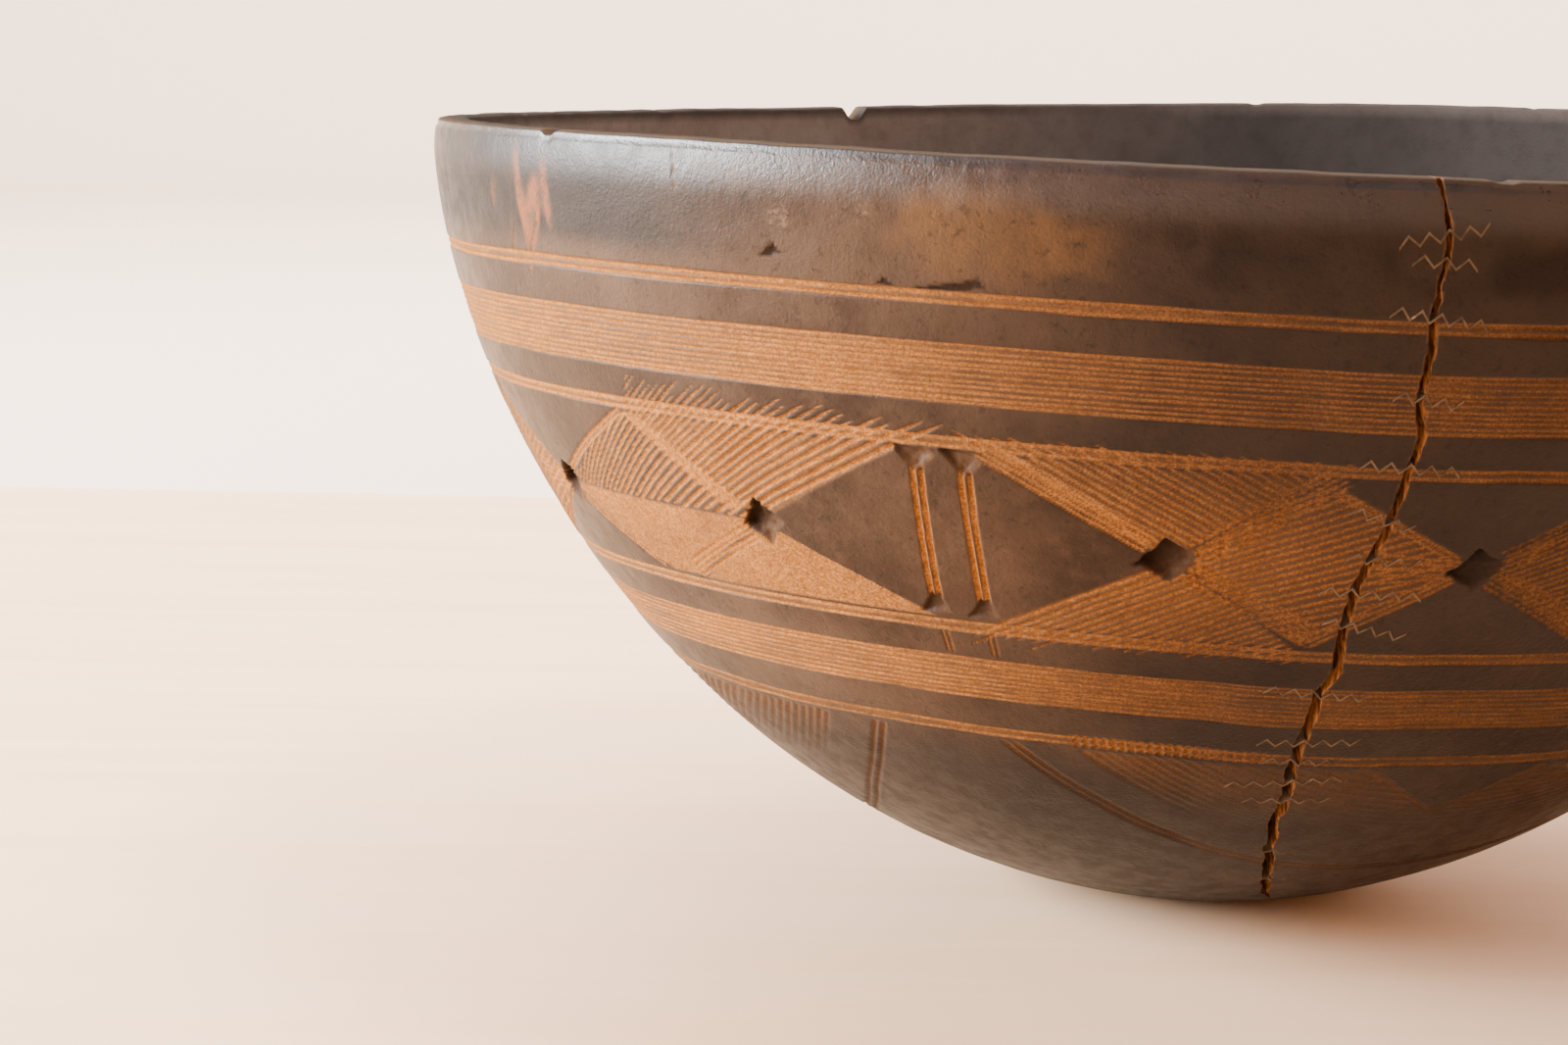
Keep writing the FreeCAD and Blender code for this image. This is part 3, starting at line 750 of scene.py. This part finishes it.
def split_cutter():
    """The open split as a solid to take away: ragged walls, right through high up and blind low down."""
    path = np.array(SPLIT, float)
    run = np.arange(len(path))
    steps = np.linspace(0, len(path) - 1, int(300 / COARSER))
    heights = np.interp(steps, run, path[:, 1])
    bearings = np.interp(steps, run, path[:, 0])
    radius = outer_radius(heights)
    slope = wall_slope(heights)
    turn = np.radians(bearings)
    length = np.hypot(1, slope)
    skin = np.stack([radius * np.sin(turn), -radius * np.cos(turn), heights], -1)
    normal = np.stack([np.sin(turn) / length, -np.cos(turn) / length, -slope / length], -1)
    side = np.stack([np.cos(turn), np.sin(turn), 0 * turn], -1)
    up = np.clip(heights / HEIGHT, 0, 1) ** 1.4
    width = SPLIT_WIDTH_BOTTOM + (SPLIT_WIDTH_TOP - SPLIT_WIDTH_BOTTOM) * up
    width = width * np.clip((heights - 6) / 10, 0.12, 1)  # it closes towards the foot
    through = heights > SPLIT_THROUGH_ABOVE
    reach = np.where(through, 3 * RIM_WALL, SPLIT_BLIND_DEPTH)
    closing = np.where(through, 0.35, 0.15)  # share of the width left at its far side
    levels = 14
    rings = []
    for which in (-1, 1):
        wall = []
        for level in range(levels):
            share = level / (levels - 1)
            point = skin + normal * (2 - (reach + 2) * share)[:, None]
            shared = 0.45 * noise(point * np.array([1, 1, 0.8]), 9, 51) + 0.42 * noise(point, 3.4, 52)
            shared = shared - SPLIT_LEAN * min(1.0, share * reach[0] / 6)
            ragged = 0.28 * noise(point, 1.7, 53 + which) + 0.14 * noise(point, 4.5, 55 + which)
            half = width / 2 * (1 - (1 - closing) * share) + ragged * np.clip(width, 0, 1.2)
            wall.append(point + side * (shared + which * np.clip(half, 0.05, None))[:, None])
        rings.append(wall if which < 0 else wall[::-1])
    loop = np.array(rings[0] + rings[1])  # around the section, then along the split
    around, along = loop.shape[:2]
    mesh = bpy.data.meshes.new("split_cutter")
    ring_at, at = np.meshgrid(np.arange(around), np.arange(along - 1), indexing="ij")
    nxt = (ring_at + 1) % around
    here, next_one = ring_at * along + at, nxt * along + at
    quads = np.stack([here, next_one, next_one + 1, here + 1], -1).reshape(-1, 4)
    caps = [[k * along for k in range(around)][::-1], [k * along + along - 1 for k in range(around)]]
    mesh.from_pydata((loop.reshape(-1, 3) * METRES).tolist(), [], quads.tolist() + caps)
    mesh.validate()
    thing = bpy.data.objects.new("split_cutter", mesh)
    bpy.context.scene.collection.objects.link(thing)
    return thing


# ---------------------------------------------------------------- materials

class Shader:
    """A Principled material made of procedural nodes. Coordinates are the object's own, in metres."""

    def __init__(self, name):
        self.material = bpy.data.materials.new(name)
        self.material.use_nodes = True
        self.tree = self.material.node_tree
        self.surface = self.tree.nodes["Principled BSDF"]
        self.place = self.tree.nodes.new("ShaderNodeTexCoord").outputs["Object"]

    def wire(self, value, socket):
        if isinstance(value, bpy.types.NodeSocket):
            self.tree.links.new(value, socket)
        elif isinstance(value, tuple) and len(value) == 3 and socket.type == "RGBA":
            socket.default_value = (*value, 1)
        else:
            socket.default_value = value

    def set(self, **values):
        for name, value in values.items():
            self.wire(value, self.surface.inputs[name.replace("_", " ")])

    def noise(self, size, detail=3.0, rough=0.55, stretch=(1, 1, 1), warp=0.0):
        """0 to 1, with lumps of about size metres, longer along an axis whose stretch is over 1."""
        mapping = self.tree.nodes.new("ShaderNodeMapping")
        mapping.inputs["Scale"].default_value = tuple(1 / size / s for s in stretch)
        self.wire(self.place, mapping.inputs["Vector"])
        texture = self.tree.nodes.new("ShaderNodeTexNoise")
        texture.inputs["Scale"].default_value = 1.0
        texture.inputs["Detail"].default_value = detail
        texture.inputs["Roughness"].default_value = rough
        texture.inputs["Distortion"].default_value = warp
        self.wire(mapping.outputs["Vector"], texture.inputs["Vector"])
        return texture.outputs["Fac"]

    def layer(self, name):
        attribute = self.tree.nodes.new("ShaderNodeAttribute")
        attribute.attribute_name = name
        return attribute.outputs["Fac"]

    def between(self, value, low, high, at_low=0.0, at_high=1.0):
        remap = self.tree.nodes.new("ShaderNodeMapRange")
        remap.interpolation_type = "SMOOTHSTEP"
        for socket, number in zip(remap.inputs[1:5], (low, high, at_low, at_high)):
            socket.default_value = number
        self.wire(value, remap.inputs["Value"])
        return remap.outputs["Result"]

    def math(self, operation, a, b):
        maths = self.tree.nodes.new("ShaderNodeMath")
        maths.operation = operation
        self.wire(a, maths.inputs[0])
        self.wire(b, maths.inputs[1])
        return maths.outputs["Value"]

    def mix(self, share, a, b):
        """Colour a where share is 0, colour b where it is 1."""
        mixer = self.tree.nodes.new("ShaderNodeMix")
        mixer.data_type = "RGBA"
        self.wire(share, mixer.inputs["Factor"])
        self.wire(a, mixer.inputs[MIX_A])
        self.wire(b, mixer.inputs[MIX_B])
        return mixer.outputs[MIX_RESULT]

    def bump(self, height, distance, strength=1.0):
        bumper = self.tree.nodes.new("ShaderNodeBump")
        bumper.inputs["Distance"].default_value = distance
        bumper.inputs["Strength"].default_value = strength
        self.wire(height, bumper.inputs["Height"])
        self.wire(bumper.outputs["Normal"], self.surface.inputs["Normal"])


def old_wood():
    """Dark waxed skin, bare orange-brown wood where it is carved, soot and painted shade in the pits, and
    painted shade over the darkened parts.
    """
    wood = Shader("old_wood")
    clouds = wood.noise(0.055, 5, 0.6)
    mottle = wood.noise(0.006, 4, 0.65)
    leather = wood.noise(0.0010, 2, 0.5)
    grit = wood.noise(0.0006, 2, 0.6)
    fibres = wood.noise(0.0014, 3, 0.6, stretch=(9, 1, 1))
    fresh, soot_and_shade, matt = wood.layer("fresh"), wood.layer("soot_and_shade"), wood.layer("matt")
    skin = wood.mix(wood.between(clouds, 0.35, 0.68), (0.029, 0.0158, 0.0092), (0.068, 0.039, 0.023))
    skin = wood.mix(wood.between(mottle, 0.45, 0.75, 0, 0.5), skin, (0.072, 0.040, 0.022))
    skin = wood.mix(wood.math("MULTIPLY", wood.layer("olive"), wood.between(mottle, 0.25, 0.6, 0.55, 1.0)),
                    skin, (0.135, 0.066, 0.024))
    skin = wood.mix(wood.math("MULTIPLY", wood.layer("ruddy"), wood.between(mottle, 0.35, 0.6)),
                    skin, (0.19, 0.056, 0.019))
    dry = wood.mix(wood.between(clouds, 0.3, 0.7), (0.104, 0.083, 0.071), (0.148, 0.120, 0.105))
    dry = wood.mix(wood.between(mottle, 0.42, 0.7, 0, 0.4), dry, (0.080, 0.062, 0.052))
    skin = wood.mix(matt, skin, dry)
    specks = wood.noise(0.0022, 3, 0.6)
    skin = wood.mix(wood.math("MULTIPLY", wood.between(specks, 0.56, 0.70, 0, 0.45),
                              wood.between(matt, 0, 1, 1, 0)),
                    skin, (0.012, 0.0075, 0.005))
    scuffed = wood.math("ADD", wood.layer("worn"), wood.math("MULTIPLY", leather, 0.6))
    skin = wood.mix(wood.between(scuffed, 0.62, 0.98), skin, (0.19, 0.115, 0.065))
    bare = wood.mix(wood.between(grit, 0.36, 0.66), (0.205, 0.081, 0.020), (0.40, 0.168, 0.045))
    bare = wood.mix(wood.between(fibres, 0.35, 0.7, 0, 0.3), bare, (0.13, 0.050, 0.012))
    bare = wood.mix(wood.between(clouds, 0.4, 0.7, 0, 0.25), bare, (0.15, 0.055, 0.013))
    bared = wood.math("MULTIPLY", fresh, wood.between(mottle, 0.25, 0.5, 0.8, 1.0))
    colour = wood.mix(bared, skin, bare)
    # soot and painted shade in pits and chips, and stains in the neck
    colour = wood.mix(soot_and_shade, colour, (0.011, 0.0065, 0.0045))
    # painted shade: a dark, cool-tinted colour laid over the darkened parts, bluer where polished
    shade_colour = wood.mix(fresh, (0.006, 0.006, 0.0068), (0.008, 0.015, 0.018))
    shade_colour = wood.mix(wood.layer("polish"), shade_colour, (0.006, 0.012, 0.020))
    colour = wood.mix(wood.math("MULTIPLY", wood.layer("aged"), wood.between(fresh, 0.0, 1.0, 0.75, 0.66)),
                      colour, shade_colour)
    dull = wood.math("MAXIMUM", wood.math("MAXIMUM", fresh, soot_and_shade), matt)
    polish = wood.math("MULTIPLY", wood.layer("polish"), 0.10)
    rough = wood.math("ADD", wood.between(mottle, 0.35, 0.7, 0.37, 0.5), wood.math("MULTIPLY", dull, 0.3))
    wood.set(Base_Color=colour, Roughness=wood.math("SUBTRACT", rough, polish),
             Specular_IOR_Level=wood.math("ADD", wood.between(dull, 0.0, 1.0, 0.09, 0.0),
                                          wood.math("MULTIPLY", wood.layer("polish"), 0.30)))
    wood.bump(wood.math("ADD", wood.math("ADD", leather, grit), mottle), 0.0002, 0.5)
    return wood.material


def split_wood():
    """Torn orange-brown fibres inside the split."""
    wood = Shader("split_wood")
    fibres = wood.noise(0.0016, 4, 0.7, stretch=(1, 1, 4))
    colour = wood.mix(wood.between(fibres, 0.36, 0.66), (0.045, 0.018, 0.006), (0.32, 0.135, 0.042))
    wood.set(Base_Color=colour, Roughness=0.9, Specular_IOR_Level=0.05)
    wood.bump(fibres, 0.0006, 0.8)
    return wood.material


def driven_steel():
    """Steel gone brown with age, still bright in a few rubbed places."""
    steel = Shader("driven_steel")
    patches = steel.noise(0.0032, 3, 0.6)
    rubbed = steel.between(patches, 0.64, 0.74)
    brown = steel.mix(steel.between(patches, 0.3, 0.6), (0.040, 0.026, 0.016), (0.090, 0.060, 0.039))
    steel.set(Base_Color=steel.mix(rubbed, brown, (0.21, 0.175, 0.14)),
              Metallic=steel.between(patches, 0.64, 0.74, 0.0, 0.8),
              Roughness=steel.between(patches, 0.5, 0.7, 0.75, 0.4), Specular_IOR_Level=0.2)
    return steel.material


def pale_ground():
    """Pale boards under the bowl, and a paler floor and wall beyond them."""
    ground = Shader("pale_ground")
    figure = ground.noise(0.028, 3, 0.5, stretch=(16, 1, 1), warp=0.6)
    boards = ground.mix(ground.between(figure, 0.35, 0.75), (0.97, 0.67, 0.44), (0.94, 0.61, 0.37))
    axes = ground.tree.nodes.new("ShaderNodeSeparateXYZ")
    ground.wire(ground.place, axes.inputs["Vector"])
    beyond = ground.math("GREATER_THAN", axes.outputs["Y"], TABLE_END)
    ground.set(Base_Color=ground.mix(beyond, boards, (0.92, 0.755, 0.63)),
               Roughness=ground.between(beyond, 0.0, 1.0, 0.55, 0.9))
    return ground.material


# ---------------------------------------------------------------- the bowl

rows, layers = build_grid()
bowl = mesh_from_grid("carved_bowl", rows, layers)
bowl.data.materials.append(old_wood())
cutter = split_cutter()
cutter.data.materials.append(split_wood())
opening = bowl.modifiers.new("split", "BOOLEAN")
opening.operation = "DIFFERENCE"
opening.solver = "MANIFOLD"
opening.material_mode = "TRANSFER"
opening.object = cutter
bowl.data = bpy.data.meshes.new_from_object(bowl.evaluated_get(bpy.context.evaluated_depsgraph_get()))
bowl.modifiers.clear()
bpy.data.objects.remove(cutter)

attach(bowl, "root")
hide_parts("bowl")

steel = driven_steel()
for name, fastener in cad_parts.items():
    if name.startswith("corrugated_fastener"):
        fastener.data.materials.clear()
        fastener.data.materials.append(steel)

# ---------------------------------------------------------------- stage, lights and camera

def round_room():
    """Floor and wall turned from one outline, with a cove between them."""
    bends = [step * math.pi / (2 * COVE_STEPS) for step in range(COVE_STEPS + 1)]
    cove = [(ROOM_RADIUS - COVE_RADIUS * (1 - math.sin(bend)), COVE_RADIUS * (1 - math.cos(bend)))
            for bend in bends]
    outline = [(0.05, 0), (1.2, 0), (cove[0][0] - 0.05, 0)] + cove + [(ROOM_RADIUS, ROOM_HEIGHT)]
    turns = [2 * math.pi * side / ROOM_SIDES for side in range(ROOM_SIDES)]
    points = [(radius * math.cos(turn), radius * math.sin(turn), height)
              for radius, height in outline for turn in turns]
    faces = [tuple(range(ROOM_SIDES))]
    for row in range(len(outline) - 1):
        for side in range(ROOM_SIDES):
            after = (side + 1) % ROOM_SIDES
            low, high = row * ROOM_SIDES, (row + 1) * ROOM_SIDES
            faces.append((low + side, high + side, high + after, low + after))
    mesh = bpy.data.meshes.new("room")
    mesh.from_pydata(points, [], faces)
    mesh.shade_smooth()
    mesh.materials.append(pale_ground())
    room = bpy.data.objects.new("room", mesh)
    bpy.context.scene.collection.objects.link(room)


round_room()


def soft_light(name, place, target, width, tall, watts, colour):
    light = bpy.data.lights.new(name, "AREA")
    light.shape = "RECTANGLE"
    light.size, light.size_y = width, tall
    light.energy = watts
    light.color = colour
    lamp = bpy.data.objects.new(name, light)
    lamp.location = place
    lamp.rotation_mode = "QUATERNION"
    lamp.rotation_quaternion = (Vector(target) - Vector(place)).to_track_quat("-Z", "Y")
    bpy.context.scene.collection.objects.link(lamp)


soft_light("window", (-1.7, 0.02, 0.52), (0, 0, 0.10), 1.1, 0.8, 175, (0.95, 0.98, 1.0))
soft_light("window_side", (-1.55, -0.75, 0.52), (0, 0, 0.10), 0.8, 0.8, 22, (0.88, 0.94, 1.0))
soft_light("ceiling", (0, 0.5, 2.2), (0, 0.4, 0), 2.4, 1.2, 54, (1.0, 0.98, 0.92))
soft_light("over_bowl", (0.14, -0.1, 1.15), (0.12, -0.1, 0), 0.3, 0.3, 13, (0.97, 0.98, 1.0))
soft_light("behind", (0, 1.3, 1.7), (0, 2.6, 0.2), 2.6, 0.8, 165, (1.0, 0.98, 0.95))

world = bpy.data.worlds.new("room")
world.use_nodes = True
world.node_tree.nodes["Background"].inputs["Color"].default_value = (1.0, 0.97, 0.93, 1)
world.node_tree.nodes["Background"].inputs["Strength"].default_value = 0.02
bpy.context.scene.world = world

camera_data = bpy.data.cameras.new("camera")
camera_data.sensor_width = 36.0
camera_data.lens = 80.7
camera_data.clip_start = 0.01
camera = bpy.data.objects.new("camera", camera_data)
camera.matrix_world = (Matrix.Translation(CAMERA_PLACE)
                       @ Matrix.Rotation(math.pi / 2 - CAMERA_PITCH, 4, "X")
                       @ Matrix.Rotation(CAMERA_ROLL, 4, "Z"))
bpy.context.scene.collection.objects.link(camera)
bpy.context.scene.camera = camera
